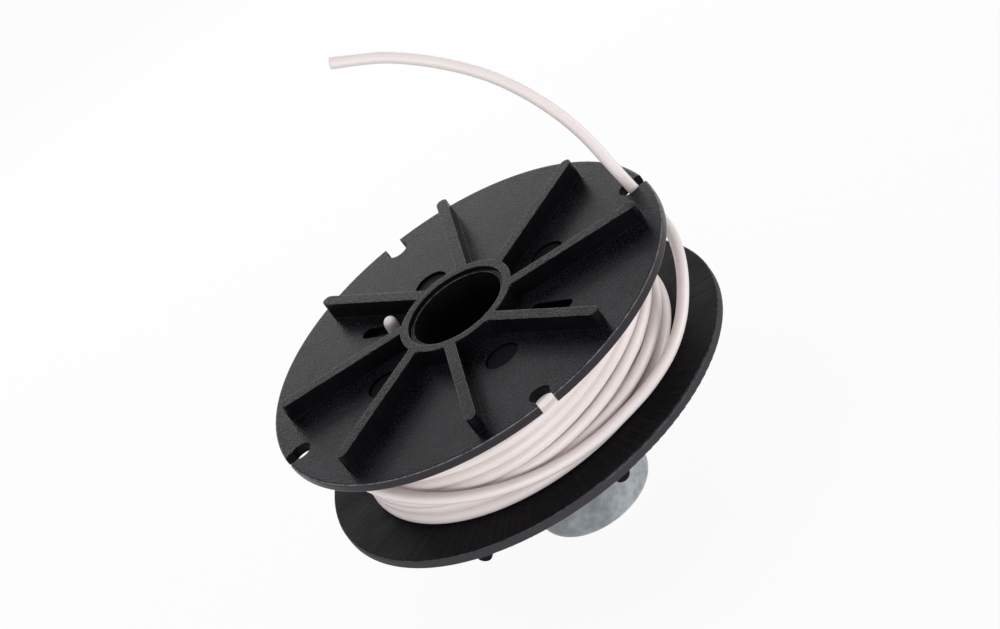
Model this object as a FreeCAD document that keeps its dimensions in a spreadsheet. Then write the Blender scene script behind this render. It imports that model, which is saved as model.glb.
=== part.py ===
import FreeCAD, Part
import math
import os
import Sketcher
from FreeCAD import Placement, Rotation, Vector

# Line spool of a grass trimmer, in millimetres. Z is the spool's axis and points out of the ribbed
# face; z = 0 is the lowest point of the steel glide cap. The free end of the line leaves through the
# notch at +X, and azimuths are counted from +X towards +Y.

SIZES = [
    # Both flanges, from the glide cap upwards
    ("flange_radius", 37.0),
    ("rim_round", 0.4),
    ("cap_depth", 23.5),
    ("lower_thickness", 1.8),
    ("groove_width", 16.1),
    ("upper_thickness", 1.7),
    ("rib_height", 3.2),
    # Spindle tube of the lower moulding, and the collar of the upper one round it
    ("tube_bore", 8.3),
    ("tube_wall", 0.7),
    ("tube_setback", 0.6),
    ("tube_chamfer", 0.3),
    ("collar_clearance", 0.05),
    ("collar_wall", 1.45),
    ("collar_skirt", 5.4),
    # Ribs, set off to one side of the axis like a pinwheel
    ("rib_count", 8),
    ("rib_turn", 31.4),
    ("rib_offset", 2.85),
    ("rib_width", 2.0),
    ("rib_inset", 3.1),
    # Keyhole notches that park the line
    ("notch_count", 4),
    ("notch_inset", 2.8),
    ("notch_clearance", 0.9),
    ("neck_play", 1.0),
    # Slots for the inner end of the line, and the notches in the drum wall under them
    ("slot_count", 2),
    ("slot_turn", 127.5),
    ("slot_inward", 6.0),
    ("slot_outward", 2.7),
    ("slot_play", 0.4),
    ("drum_notch_play", 1.0),
    ("drum_notch_depth", 4.5),
    # Drum that the line is wound on
    ("drum_radius", 20.0),
    ("drum_wall", 1.6),
    # Posts of the lower moulding whose ends are staked over in the upper one
    ("stake_count", 4),
    ("post_setback", 0.1),
    ("post_radius", 3.0),
    ("pin_radius", 2.0),
    ("pin_clearance", 0.05),
    ("recess_depth", 0.8),
    ("recess_clearance", 0.15),
    ("head_radius", 2.85),
    ("head_height", 0.4),
    # Lugs under the lower flange's rim
    ("lug_count", 2),
    ("lug_turn", 233.3),
    ("lug_step", 40.7),
    ("lug_width", 2.6),
    ("lug_height", 0.85),
    ("lug_reach", 0.8),
    ("lug_setback", 0.03),
    # Glide cap
    ("cap_wall", 0.8),
    ("cap_land", 0.2),
    ("cap_dome", 12.0),
    ("cap_corner", 3.0),
    ("cap_gap", 2.5),
    # Boss in the cap, with the bush that carries the cap's stud
    ("boss_wall", 1.1),
    ("boss_clearance", 0.3),
    ("boss_foot", 3.5),
    ("floor_height", 9.0),
    ("floor_thickness", 2.0),
    ("bush_radius", 4.5),
    ("stud_clearance", 0.05),
    ("end_play", 0.1),
    # Stud and washers
    ("stud_radius", 2.0),
    ("stud_flange_radius", 4.3),
    ("stud_flange_thickness", 1.2),
    ("stud_tail", 1.4),
    ("stud_chamfer", 0.3),
    ("thrust_clearance", 0.1),
    ("thrust_radius", 4.5),
    ("thrust_thickness", 1.0),
    ("push_radius", 5.0),
    ("push_thickness", 0.5),
    ("well_clearance", 0.6),
    ("seat_room", 0.5),
    # Line
    ("line_diameter", 2.0),
    ("tip_radius", 1.2),
    ("core_clearance", 0.05),
    ("side_clearance", 0.15),
    ("layer_radius", 28.5),
    ("layer_gap", 0.15),
    ("turn_gap", 0.68),
    ("layer_tilt", 2.0),
    ("strand_gap", 0.5),
]

doc = FreeCAD.newDocument("LineSpool")
sheet = doc.addObject("Spreadsheet::Sheet", "Sizes")
for row, (alias, plain) in enumerate(SIZES, start=1):
    sheet.set("A%d" % row, alias)
    sheet.set("B%d" % row, str(plain))
    sheet.setAlias("B%d" % row, alias)
doc.recompute()


def size(alias):
    return float(sheet.get(alias))


# A place is written as a sum of named sizes, such as "cap_depth + lower_thickness", with a minus sign
# straight in front for the other side of an axis. number() gives its value for the first guess of a
# sketch and formula() the expression that binds it to the sheet.

def number(text):
    if text.startswith("-"):
        return -number(text[1:])
    total = 0.0
    sign = 1.0
    for word in text.split():
        if word in "+-":
            sign = 1.0 if word == "+" else -1.0
        elif word == "0":
            continue
        elif word.endswith("/2"):
            total += sign * size(word[:-2]) / 2.0
        else:
            total += sign * size(word)
    return total


def formula(text):
    words = [word if word in "+-" else "Sizes." + word for word in text.split()]
    return " ".join(words)


LOWER_FACE = "cap_depth"
LOWER_TOP = LOWER_FACE + " + lower_thickness"
UPPER_FACE = LOWER_TOP + " + groove_width"
DECK = UPPER_FACE + " + upper_thickness"
CROWN = DECK + " + rib_height"
TUBE_RADIUS = "tube_bore + tube_wall"
COLLAR_BORE = TUBE_RADIUS + " + collar_clearance"
COLLAR_RADIUS = COLLAR_BORE + " + collar_wall"
RIB_END = "flange_radius - rib_inset"
NOTCH_CENTRE = "flange_radius - notch_inset"
NOTCH_RADIUS = "line_diameter/2 + notch_clearance"
NECK_HALF = "line_diameter/2 + neck_play/2"
SLOT_INNER = "drum_radius - slot_inward"
SLOT_OUTER = "drum_radius + slot_outward"
SLOT_HALF = "line_diameter/2 + slot_play/2"
DRUM_NOTCH_HALF = "line_diameter/2 + drum_notch_play/2"
STAKE_CIRCLE = "drum_radius - post_radius - post_setback"
BOSS_RADIUS = "tube_bore + boss_wall"
CAP_BORE = BOSS_RADIUS + " + boss_clearance"
CAP_RADIUS = CAP_BORE + " + cap_wall"
CAP_FLAT = "stud_flange_radius + cap_land"
STUD_STEP = "cap_wall + stud_flange_thickness"
BUSH_FOOT = STUD_STEP + " + thrust_thickness + end_play"
FLOOR_TOP = "floor_height + floor_thickness"
PUSH_FOOT = FLOOR_TOP + " + end_play"
STUD_END = PUSH_FOOT + " + push_thickness + stud_tail"
SPINDLE_SEAT = STUD_END + " + seat_room"


# Sketches and features

def new_body(label):
    body = doc.addObject("PartDesign::Body", label)
    body.Label = label
    return body


def origin_feature(body, role):
    for feature in body.Origin.OriginFeatures:
        if feature.Role == role:
            return feature
    raise ValueError(role)


def new_sketch(body, name, role, level=None, turn=None):
    sketch = body.newObject("Sketcher::SketchObject", name)
    sketch.AttachmentSupport = [(origin_feature(body, role), "")]
    sketch.MapMode = "FlatFace"
    up = Vector(0, 0, 1) if role == "XY_Plane" else Vector(0, 1, 0)
    height = number(level) if level else 0.0
    angle = number(turn) if turn else 0.0
    sketch.AttachmentOffset = Placement(Vector(0, 0, height), Rotation(up, angle))
    if level:
        sketch.setExpression("AttachmentOffset.Base.z", formula(level))
    if turn:
        sketch.setExpression("AttachmentOffset.Rotation.Angle", formula(turn))
    return sketch


def dimension(sketch, kind, where, text):
    value = number(text)
    index = sketch.addConstraint(Sketcher.Constraint(kind, *where, value))
    sketch.setExpression("Constraints[%d]" % index, formula(text))


def place_point(sketch, element, end, x_text, y_text):
    for kind, axis, text in (("DistanceX", -2, x_text), ("DistanceY", -1, y_text)):
        if text == "0":
            sketch.addConstraint(Sketcher.Constraint("PointOnObject", element, end, axis))
        elif text.startswith("-"):
            dimension(sketch, kind, (element, end, -1, 1), text[1:])
        else:
            dimension(sketch, kind, (-1, 1, element, end), text)


def outline(sketch, corners):
    points = [Vector(number(x), number(y), 0) for x, y in corners]
    count = len(points)
    for i in range(count):
        sketch.addGeometry(Part.LineSegment(points[i], points[(i + 1) % count]))
    for i in range(count):
        sketch.addConstraint(Sketcher.Constraint("Coincident", i, 2, (i + 1) % count, 1))
    for i, (x, y) in enumerate(corners):
        place_point(sketch, i, 1, x, y)


def circle(sketch, x_text, radius_text):
    centre = Vector(number(x_text), 0, 0)
    sketch.addGeometry(Part.Circle(centre, Vector(0, 0, 1), number(radius_text)))
    place_point(sketch, 0, 3, x_text, "0")
    dimension(sketch, "Radius", (0,), radius_text)


def revolve(body, name, sketch):
    turned = body.newObject("PartDesign::Revolution", name)
    turned.Profile = sketch
    turned.ReferenceAxis = (sketch, ["V_Axis"])
    turned.Angle = 360.0
    sketch.Visibility = False
    doc.recompute()
    return turned


def revolved(body, name, corners):
    sketch = new_sketch(body, name + "_section", "XZ_Plane")
    outline(sketch, corners)
    return revolve(body, name, sketch)


def pad(body, name, sketch, length):
    raised = body.newObject("PartDesign::Pad", name)
    raised.Profile = sketch
    raised.Length = number(length)
    raised.setExpression("Length", formula(length))
    doc.recompute()
    return raised


def pocket(body, name, sketch, depth=None):
    before = body.Shape.Volume
    cut = body.newObject("PartDesign::Pocket", name)
    cut.Profile = sketch
    cut.Reversed = False
    if depth:
        cut.Type = "Length"
        cut.Length = number(depth)
        cut.setExpression("Length", formula(depth))
    else:
        cut.Type = "ThroughAll"
    doc.recompute()
    if body.Shape.Volume >= before:
        raise RuntimeError(name + " removes nothing")
    return cut


def around_axis(body, name, features, count):
    pattern = body.newObject("PartDesign::PolarPattern", name)
    pattern.Originals = features
    pattern.Axis = (origin_feature(body, "Z_Axis"), [""])
    pattern.Angle = 360.0
    pattern.Occurrences = int(size(count))
    pattern.setExpression("Occurrences", formula(count))
    body.Tip = pattern
    doc.recompute()
    return pattern


def round_rim(body, name, radius, fillet):
    base = body.Tip
    edges = []
    for i, edge in enumerate(base.Shape.Edges, start=1):
        if isinstance(edge.Curve, Part.Circle) and abs(edge.Curve.Radius - number(radius)) < 1e-6:
            edges.append("Edge%d" % i)
    rounded = body.newObject("PartDesign::Fillet", name)
    rounded.Base = (base, edges)
    rounded.Radius = number(fillet)
    rounded.setExpression("Radius", formula(fillet))
    doc.recompute()
    return rounded


# Upper moulding: flange, collar and ribs

upper = new_body("upper_flange")
revolved(upper, "upper_disc", [
    (COLLAR_BORE, UPPER_FACE + " - collar_skirt"),
    (COLLAR_RADIUS, UPPER_FACE + " - collar_skirt"),
    (COLLAR_RADIUS, UPPER_FACE),
    ("flange_radius", UPPER_FACE),
    ("flange_radius", DECK),
    (COLLAR_RADIUS, DECK),
    (COLLAR_RADIUS, CROWN),
    (COLLAR_BORE, CROWN),
])
round_rim(upper, "upper_rim", "flange_radius", "rim_round")


def rib_outline(sketch):
    # The hub end lies inside the collar's wall and the outer end is a full round
    hub = (number(COLLAR_RADIUS) + number(COLLAR_BORE)) / 2.0
    offset = size("rib_offset")
    half = size("rib_width") / 2.0
    inner = math.sqrt(hub ** 2 - offset ** 2)
    outer = math.sqrt(number(RIB_END) ** 2 - offset ** 2) - half
    low = -offset - half
    high = -offset + half
    sketch.addGeometry(Part.LineSegment(Vector(inner, low, 0), Vector(outer, low, 0)))
    end = Part.Circle(Vector(outer, -offset, 0), Vector(0, 0, 1), half)
    sketch.addGeometry(Part.ArcOfCircle(end, -math.pi / 2, math.pi / 2))
    sketch.addGeometry(Part.LineSegment(Vector(outer, high, 0), Vector(inner, high, 0)))
    sketch.addGeometry(Part.LineSegment(Vector(inner, high, 0), Vector(inner, low, 0)))
    sketch.addConstraint(Sketcher.Constraint("Tangent", 0, 2, 1, 1))
    sketch.addConstraint(Sketcher.Constraint("Tangent", 1, 2, 2, 1))
    sketch.addConstraint(Sketcher.Constraint("Coincident", 2, 2, 3, 1))
    sketch.addConstraint(Sketcher.Constraint("Coincident", 3, 2, 0, 1))
    sketch.addConstraint(Sketcher.Constraint("Horizontal", 0))
    sketch.addConstraint(Sketcher.Constraint("Vertical", 3))
    dimension(sketch, "Radius", (1,), "rib_width/2")
    dimension(sketch, "DistanceY", (1, 3, -1, 1), "rib_offset")
    hub_text = "((%s + %s) / 2)" % (formula(COLLAR_BORE), formula(COLLAR_RADIUS))
    index = sketch.addConstraint(Sketcher.Constraint("DistanceX", -1, 1, 3, 1, inner))
    sketch.setExpression("Constraints[%d]" % index, "sqrt(%s ^ 2 - Sizes.rib_offset ^ 2)" % hub_text)
    index = sketch.addConstraint(Sketcher.Constraint("DistanceX", -1, 1, 1, 3, outer))
    reach_text = "sqrt((%s) ^ 2 - Sizes.rib_offset ^ 2) - Sizes.rib_width / 2" % formula(RIB_END)
    sketch.setExpression("Constraints[%d]" % index, reach_text)


rib_sketch = new_sketch(upper, "rib_plan", "XY_Plane", DECK, "rib_turn")
rib_outline(rib_sketch)
rib = pad(upper, "rib", rib_sketch, "rib_height")
around_axis(upper, "ribs", [rib], "rib_count")

notch_hole_plan = new_sketch(upper, "notch_hole_plan", "XY_Plane", DECK)
circle(notch_hole_plan, NOTCH_CENTRE, NOTCH_RADIUS)
notch_hole = pocket(upper, "notch_hole", notch_hole_plan)
notch_neck_plan = new_sketch(upper, "notch_neck_plan", "XY_Plane", DECK)
neck_end = "flange_radius + line_diameter"
outline(notch_neck_plan, [
    (NOTCH_CENTRE, "-" + NECK_HALF),
    (neck_end, "-" + NECK_HALF),
    (neck_end, NECK_HALF),
    (NOTCH_CENTRE, NECK_HALF),
])
notch_mouth = pocket(upper, "notch_mouth", notch_neck_plan)
around_axis(upper, "notches", [notch_hole, notch_mouth], "notch_count")


def slot_outline(sketch):
    half = number(SLOT_HALF)
    inner = number(SLOT_INNER) + half
    outer = number(SLOT_OUTER) - half
    sketch.addGeometry(Part.LineSegment(Vector(inner, -half, 0), Vector(outer, -half, 0)))
    far = Part.Circle(Vector(outer, 0, 0), Vector(0, 0, 1), half)
    sketch.addGeometry(Part.ArcOfCircle(far, -math.pi / 2, math.pi / 2))
    sketch.addGeometry(Part.LineSegment(Vector(outer, half, 0), Vector(inner, half, 0)))
    near = Part.Circle(Vector(inner, 0, 0), Vector(0, 0, 1), half)
    sketch.addGeometry(Part.ArcOfCircle(near, math.pi / 2, 3 * math.pi / 2))
    for first, second in ((0, 1), (1, 2), (2, 3), (3, 0)):
        sketch.addConstraint(Sketcher.Constraint("Tangent", first, 2, second, 1))
    place_point(sketch, 1, 3, SLOT_OUTER + " - line_diameter/2 - slot_play/2", "0")
    place_point(sketch, 3, 3, SLOT_INNER + " + " + SLOT_HALF, "0")
    dimension(sketch, "Radius", (1,), SLOT_HALF)


slot_plan = new_sketch(upper, "slot_plan", "XY_Plane", DECK, "slot_turn")
slot_outline(slot_plan)
slot = pocket(upper, "slot", slot_plan)
around_axis(upper, "slots", [slot], "slot_count")

stake_recess_plan = new_sketch(upper, "stake_recess_plan", "XY_Plane", DECK)
circle(stake_recess_plan, STAKE_CIRCLE, "head_radius + recess_clearance")
stake_recess = pocket(upper, "stake_recess", stake_recess_plan, "recess_depth")
stake_hole_plan = new_sketch(upper, "stake_hole_plan", "XY_Plane", DECK)
circle(stake_hole_plan, STAKE_CIRCLE, "pin_radius + pin_clearance")
stake_hole = pocket(upper, "stake_hole", stake_hole_plan)
around_axis(upper, "stake_seats", [stake_recess, stake_hole], "stake_count")

# Lower moulding: boss, flange, drum and spindle tube in one section

lower = new_body("lower_flange")
revolved(lower, "lower_section", [
    ("stud_radius + stud_clearance", BUSH_FOOT),
    ("bush_radius", BUSH_FOOT),
    ("bush_radius", "floor_height"),
    ("tube_bore", "floor_height"),
    ("tube_bore", "boss_foot"),
    (BOSS_RADIUS, "boss_foot"),
    (BOSS_RADIUS, LOWER_FACE),
    ("flange_radius", LOWER_FACE),
    ("flange_radius", LOWER_TOP),
    ("drum_radius", LOWER_TOP),
    ("drum_radius", UPPER_FACE),
    ("drum_radius - drum_wall", UPPER_FACE),
    ("drum_radius - drum_wall", LOWER_TOP),
    (TUBE_RADIUS, LOWER_TOP),
    (TUBE_RADIUS, CROWN + " - tube_setback - tube_chamfer"),
    (TUBE_RADIUS + " - tube_chamfer", CROWN + " - tube_setback"),
    ("tube_bore", CROWN + " - tube_setback"),
    ("tube_bore", SPINDLE_SEAT),
    ("push_radius + well_clearance", SPINDLE_SEAT),
    ("push_radius + well_clearance", FLOOR_TOP),
    ("stud_radius + stud_clearance", FLOOR_TOP),
])
round_rim(lower, "lower_rim", "flange_radius", "rim_round")

post_plan = new_sketch(lower, "post_plan", "XY_Plane", LOWER_TOP)
circle(post_plan, STAKE_CIRCLE, "post_radius")
post = pad(lower, "post", post_plan, "groove_width")
pin_plan = new_sketch(lower, "pin_plan", "XY_Plane", UPPER_FACE)
circle(pin_plan, STAKE_CIRCLE, "pin_radius")
pin = pad(lower, "pin", pin_plan, "upper_thickness - recess_depth")
head_plan = new_sketch(lower, "head_plan", "XY_Plane", DECK + " - recess_depth")
circle(head_plan, STAKE_CIRCLE, "head_radius")
head = pad(lower, "head", head_plan, "head_height")
around_axis(lower, "stakes", [post, pin, head], "stake_count")

drum_notch_plan = new_sketch(lower, "drum_notch_plan", "XY_Plane", UPPER_FACE, "slot_turn")
outline(drum_notch_plan, [
    ("drum_radius - drum_wall - drum_wall/2", "-" + DRUM_NOTCH_HALF),
    ("drum_radius + drum_wall/2", "-" + DRUM_NOTCH_HALF),
    ("drum_radius + drum_wall/2", DRUM_NOTCH_HALF),
    ("drum_radius - drum_wall - drum_wall/2", DRUM_NOTCH_HALF),
])
drum_notch = pocket(lower, "drum_notch", drum_notch_plan, "drum_notch_depth")
around_axis(lower, "drum_notches", [drum_notch], "slot_count")


def lug_pair(name, turn):
    # A half-round bump under the rim, just inside its outer face
    sketch = new_sketch(lower, name + "_section", "YZ_Plane", turn=turn)
    reach = "flange_radius - lug_setback"
    angle = math.radians(number(turn))
    out = Vector(number(reach) * math.sin(angle), 0, number(reach) * math.cos(angle))
    sketch.AttachmentOffset = Placement(out, sketch.AttachmentOffset.Rotation)
    for axis, part in (("x", "sin"), ("z", "cos")):
        text = "(%s) * %s(%s)" % (formula(reach), part, formula(turn))
        sketch.setExpression("AttachmentOffset.Base." + axis, text)
    half = size("lug_width") / 2.0
    face = number(LOWER_FACE)
    top = face + size("lower_thickness") / 2.0
    low = Vector(0, face - size("lug_height"), 0)
    corners = [Vector(-half, face, 0), Vector(-half, top, 0), Vector(half, top, 0), Vector(half, face, 0)]
    for first, second in zip(corners, corners[1:]):
        sketch.addGeometry(Part.LineSegment(first, second))
    sketch.addGeometry(Part.Arc(corners[0], low, corners[3]))
    for first, second in ((0, 1), (1, 2)):
        sketch.addConstraint(Sketcher.Constraint("Coincident", first, 2, second, 1))
    place_point(sketch, 0, 1, "-lug_width/2", LOWER_FACE)
    place_point(sketch, 1, 1, "-lug_width/2", LOWER_FACE + " + lower_thickness/2")
    place_point(sketch, 2, 1, "lug_width/2", LOWER_FACE + " + lower_thickness/2")
    place_point(sketch, 2, 2, "lug_width/2", LOWER_FACE)
    sketch.addConstraint(Sketcher.Constraint("Coincident", 3, 1, 0, 1))
    sketch.addConstraint(Sketcher.Constraint("Coincident", 3, 2, 2, 2))
    rise = "(Sizes.lug_width ^ 2 / 4 + Sizes.lug_height ^ 2) / (2 * Sizes.lug_height)"
    radius = (half ** 2 + size("lug_height") ** 2) / (2.0 * size("lug_height"))
    index = sketch.addConstraint(Sketcher.Constraint("Radius", 3, radius))
    sketch.setExpression("Constraints[%d]" % index, rise)
    lug = pad(lower, name, sketch, "lug_reach")
    lug.Reversed = True
    doc.recompute()
    around_axis(lower, name + "s", [lug], "lug_count")


lug_pair("first_lug", "lug_turn")
lug_pair("second_lug", "lug_turn + lug_step")

# Glide cap: drawn steel cup with a flat crown, a shallow dome and a rounded corner

cap = new_body("glide_cap")
cap_sketch = new_sketch(cap, "cap_section", "XZ_Plane")
wall = size("cap_wall")
dome_centre = Vector(number(CAP_FLAT), size("cap_dome"), 0)
corner_x = number(CAP_RADIUS) - size("cap_corner")
centres = size("cap_dome") - size("cap_corner")
corner_drop = math.sqrt(centres ** 2 - (corner_x - dome_centre.x) ** 2)
corner_centre = Vector(corner_x, dome_centre.y - corner_drop, 0)
lean = math.atan2(corner_centre.y - dome_centre.y, corner_centre.x - dome_centre.x)
rim_height = number("cap_depth - cap_gap")


def cap_arc(centre, radius, start, end):
    return Part.ArcOfCircle(Part.Circle(centre, Vector(0, 0, 1), radius), start, end)


outer_radius = number(CAP_RADIUS)
inner_radius = number(CAP_BORE)
flat = number(CAP_FLAT)
down = -math.pi / 2
cap_sketch.addGeometry(Part.LineSegment(Vector(0, 0, 0), Vector(flat, 0, 0)))
cap_sketch.addGeometry(cap_arc(dome_centre, size("cap_dome"), down, lean))
cap_sketch.addGeometry(cap_arc(corner_centre, size("cap_corner"), lean, 0.0))
cap_sketch.addGeometry(Part.LineSegment(Vector(outer_radius, corner_centre.y, 0),
                                        Vector(outer_radius, rim_height, 0)))
cap_sketch.addGeometry(Part.LineSegment(Vector(outer_radius, rim_height, 0),
                                        Vector(inner_radius, rim_height, 0)))
cap_sketch.addGeometry(Part.LineSegment(Vector(inner_radius, rim_height, 0),
                                        Vector(inner_radius, corner_centre.y, 0)))
cap_sketch.addGeometry(cap_arc(corner_centre, size("cap_corner") - wall, lean, 0.0))
cap_sketch.addGeometry(cap_arc(dome_centre, size("cap_dome") - wall, down, lean))
cap_sketch.addGeometry(Part.LineSegment(Vector(flat, wall, 0), Vector(0, wall, 0)))
cap_sketch.addGeometry(Part.LineSegment(Vector(0, wall, 0), Vector(0, 0, 0)))
for constraint in (
    ("Coincident", 0, 1, -1, 1),
    ("Tangent", 0, 2, 1, 1),
    ("Tangent", 1, 2, 2, 1),
    ("Tangent", 2, 2, 3, 1),
    ("Coincident", 3, 2, 4, 1),
    ("Coincident", 4, 2, 5, 1),
    ("Tangent", 5, 2, 6, 2),
    ("Tangent", 6, 1, 7, 2),
    ("Tangent", 7, 1, 8, 1),
    ("Coincident", 8, 2, 9, 1),
    ("Coincident", 9, 2, 0, 1),
    ("Coincident", 6, 3, 2, 3),
    ("Coincident", 7, 3, 1, 3),
):
    cap_sketch.addConstraint(Sketcher.Constraint(*constraint))
for edge in (0, 4, 8):
    cap_sketch.addConstraint(Sketcher.Constraint("Horizontal", edge))
for edge in (3, 5, 9):
    cap_sketch.addConstraint(Sketcher.Constraint("Vertical", edge))
dimension(cap_sketch, "DistanceX", (0, 1, 0, 2), CAP_FLAT)
dimension(cap_sketch, "Radius", (1,), "cap_dome")
dimension(cap_sketch, "Radius", (2,), "cap_corner")
dimension(cap_sketch, "DistanceX", (-1, 1, 3, 2), CAP_RADIUS)
dimension(cap_sketch, "DistanceY", (-1, 1, 3, 2), "cap_depth - cap_gap")
dimension(cap_sketch, "DistanceY", (-1, 1, 8, 2), "cap_wall")
revolve(cap, "cap_shell", cap_sketch)

# Stud welded in the cap, and the two washers on it

stud = new_body("cap_stud")
revolved(stud, "stud_turning", [
    ("0", "cap_wall"),
    ("stud_flange_radius", "cap_wall"),
    ("stud_flange_radius", STUD_STEP),
    ("stud_radius", STUD_STEP),
    ("stud_radius", STUD_END + " - stud_chamfer"),
    ("stud_radius - stud_chamfer", STUD_END),
    ("0", STUD_END),
])

thrust = new_body("thrust_washer")
thrust_bore = "stud_radius + thrust_clearance"
revolved(thrust, "thrust_ring", [
    (thrust_bore, STUD_STEP),
    ("thrust_radius", STUD_STEP),
    ("thrust_radius", STUD_STEP + " + thrust_thickness"),
    (thrust_bore, STUD_STEP + " + thrust_thickness"),
])

push = new_body("push_on_washer")
revolved(push, "push_ring", [
    ("stud_radius", PUSH_FOOT),
    ("push_radius", PUSH_FOOT),
    ("push_radius", PUSH_FOOT + " + push_thickness"),
    ("stud_radius", PUSH_FOOT + " + push_thickness"),
])

# Line: the layers inside the winding are one plain ring

core = new_body("line_core")
core_radius = "layer_radius - line_diameter/2 - layer_gap"
revolved(core, "core_ring", [
    ("drum_radius + core_clearance", LOWER_TOP + " + side_clearance"),
    (core_radius, LOWER_TOP + " + side_clearance"),
    (core_radius, UPPER_FACE + " - side_clearance"),
    ("drum_radius + core_clearance", UPPER_FACE + " - side_clearance"),
])


# Tubes of the line

def unit(vector):
    return vector * (1.0 / vector.Length)


def tangent_arc(start, corner, end):
    # Arc that leaves start towards corner and arrives at end from it
    middle = (start + end) * 0.5
    half = (end - start).Length / 2.0
    towards = corner - middle
    if towards.Length < 1e-9:
        return Part.LineSegment(start, end).toShape(), float("inf")
    turn = 2.0 * math.atan2(towards.Length, half)
    peak = middle + unit(towards) * (half * math.tan(turn / 4.0))
    return Part.Arc(start, peak, end).toShape(), half / math.sin(turn / 2.0)


def biarc(p0, t0, p1, t1):
    # Two tangent arcs from point p0 along t0 to point p1 along t1
    v = p1 - p0
    t = t0 + t1
    spread = 2.0 * (1.0 - t0.dot(t1))
    reach = (math.sqrt(v.dot(t) ** 2 + spread * v.dot(v)) - v.dot(t)) / spread
    q0 = p0 + t0 * reach
    q1 = p1 - t1 * reach
    joint = (q0 + q1) * 0.5
    first, first_radius = tangent_arc(p0, q0, joint)
    second, second_radius = tangent_arc(joint, q1, p1)
    return [first, second], [first_radius, second_radius]


def route_edges(points):
    # Straight runs joined by arcs as large as the shorter run allows
    edges = []
    radii = []
    here = points[0]
    for before, corner, after in zip(points, points[1:], points[2:]):
        come = unit(corner - before)
        leave = unit(after - corner)
        turn = come.getAngle(leave)
        cut = 0.45 * min((corner - before).Length, (after - corner).Length)
        start = corner - come * cut
        end = corner + leave * cut
        edges.append(Part.LineSegment(here, start).toShape())
        arc, radius = tangent_arc(start, corner, end)
        edges.append(arc)
        radii.append(cut / math.tan(turn / 2.0))
        here = end
    edges.append(Part.LineSegment(here, points[-1]).toShape())
    return edges, radii


def tube(edges, name):
    path = Part.Wire(edges)
    start = path.Edges[0].valueAt(path.Edges[0].FirstParameter)
    direction = path.Edges[0].tangentAt(path.Edges[0].FirstParameter)
    ring = Part.Wire([Part.Circle(start, direction, size("line_diameter") / 2.0).toShape()])
    solid = path.makePipeShell([ring], True, False)
    expected = math.pi * (size("line_diameter") / 2.0) ** 2 * path.Length
    print("%s: length %.1f mm, volume / (section x length) %.4f" % (name, path.Length, solid.Volume / expected))
    return solid


def add_feature(label, shape):
    feature = doc.addObject("Part::Feature", label)
    feature.Label = label
    feature.Shape = shape
    feature.Placement = Placement()
    return feature


def least_gap(points, spacing):
    # Distance between strands that pass each other, less one diameter
    skip = int(4.0 * size("line_diameter") / spacing)
    least = float("inf")
    for i in range(len(points)):
        for j in range(i + skip, len(points)):
            distance = (points[i] - points[j]).Length
            least = min(least, distance)
    return least - size("line_diameter")


# Free end: out of the winding, up the groove, through the notch at +X and over the ribs
FREE_ROUTE = [
    Vector(9.71, -29.73, 28.11),
    Vector(15.40, -27.83, 28.01),
    Vector(21.41, -24.80, 28.53),
    Vector(26.42, -20.73, 29.83),
    Vector(30.44, -16.12, 32.00),
    Vector(33.37, -11.26, 34.05),
    Vector(35.15, -5.60, 36.00),
    Vector(34.90, -1.65, 39.10),
    Vector(34.25, 2.00, 46.60),
    Vector(33.77, 5.80, 54.20),
    Vector(31.57, 9.60, 61.40),
    Vector(27.97, 13.50, 68.20),
    Vector(22.77, 17.30, 74.00),
    Vector(16.67, 20.80, 79.00),
    Vector(9.47, 24.00, 82.40),
]

# Winding: one layer climbs from the lower flange to the upper one. It starts flat and leans more and
# more, so that its turns lie close at one side and fan out at the other. The last strand crosses back
# over it and meets the free end.
LINE_RADIUS = size("line_diameter") / 2.0
PITCH = size("line_diameter") + size("turn_gap")
LAYER = size("layer_radius")
STRAND = LAYER + size("line_diameter") + size("strand_gap")
LOW = number(LOWER_TOP + " + side_clearance") + LINE_RADIUS
HIGH = number(UPPER_FACE + " - side_clearance") - LINE_RADIUS - 0.05
TILT = size("layer_tilt")
TILT_TURNS = 2.0
TOP_TURN = 30.0
LEAN_TURN = TOP_TURN - 90.0
CLIMB = 60.0
FIRST_TURN = TOP_TURN - 360.0 * (HIGH - LOW - 2.0 * TILT) / PITCH
CROSS_START = TOP_TURN + 75.0
CROSS_END = 285.0
EASE = 0.15


def ease(q):
    q = min(max(q, 0.0), 1.0)
    rate = 1.0 / (1.0 - EASE)
    if q < EASE:
        return rate * q * q / (2.0 * EASE)
    if q > 1.0 - EASE:
        return 1.0 - rate * (1.0 - q) ** 2 / (2.0 * EASE)
    return rate * (q - EASE / 2.0)


def strand_point(turn):
    q = min(max((turn - TOP_TURN + CLIMB) / (2.0 * CLIMB), 0.0), 1.0)
    radius = LAYER + (STRAND - LAYER) * q * q * (3.0 - 2.0 * q)
    if turn < TOP_TURN:
        turns = (turn - FIRST_TURN) / 360.0
        tilt = TILT * min(turns / TILT_TURNS, 1.0)
        height = LOW + PITCH * turns + tilt + tilt * math.sin(math.radians(turn - LEAN_TURN))
    else:
        q = (turn - CROSS_START) / (CROSS_END - CROSS_START)
        height = HIGH - (HIGH - FREE_ROUTE[0].z) * ease(q)
    angle = math.radians(turn)
    return Vector(radius * math.cos(angle), radius * math.sin(angle), height)


def strand_direction(turn):
    return unit(strand_point(turn + 0.01) - strand_point(turn - 0.01))


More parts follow.
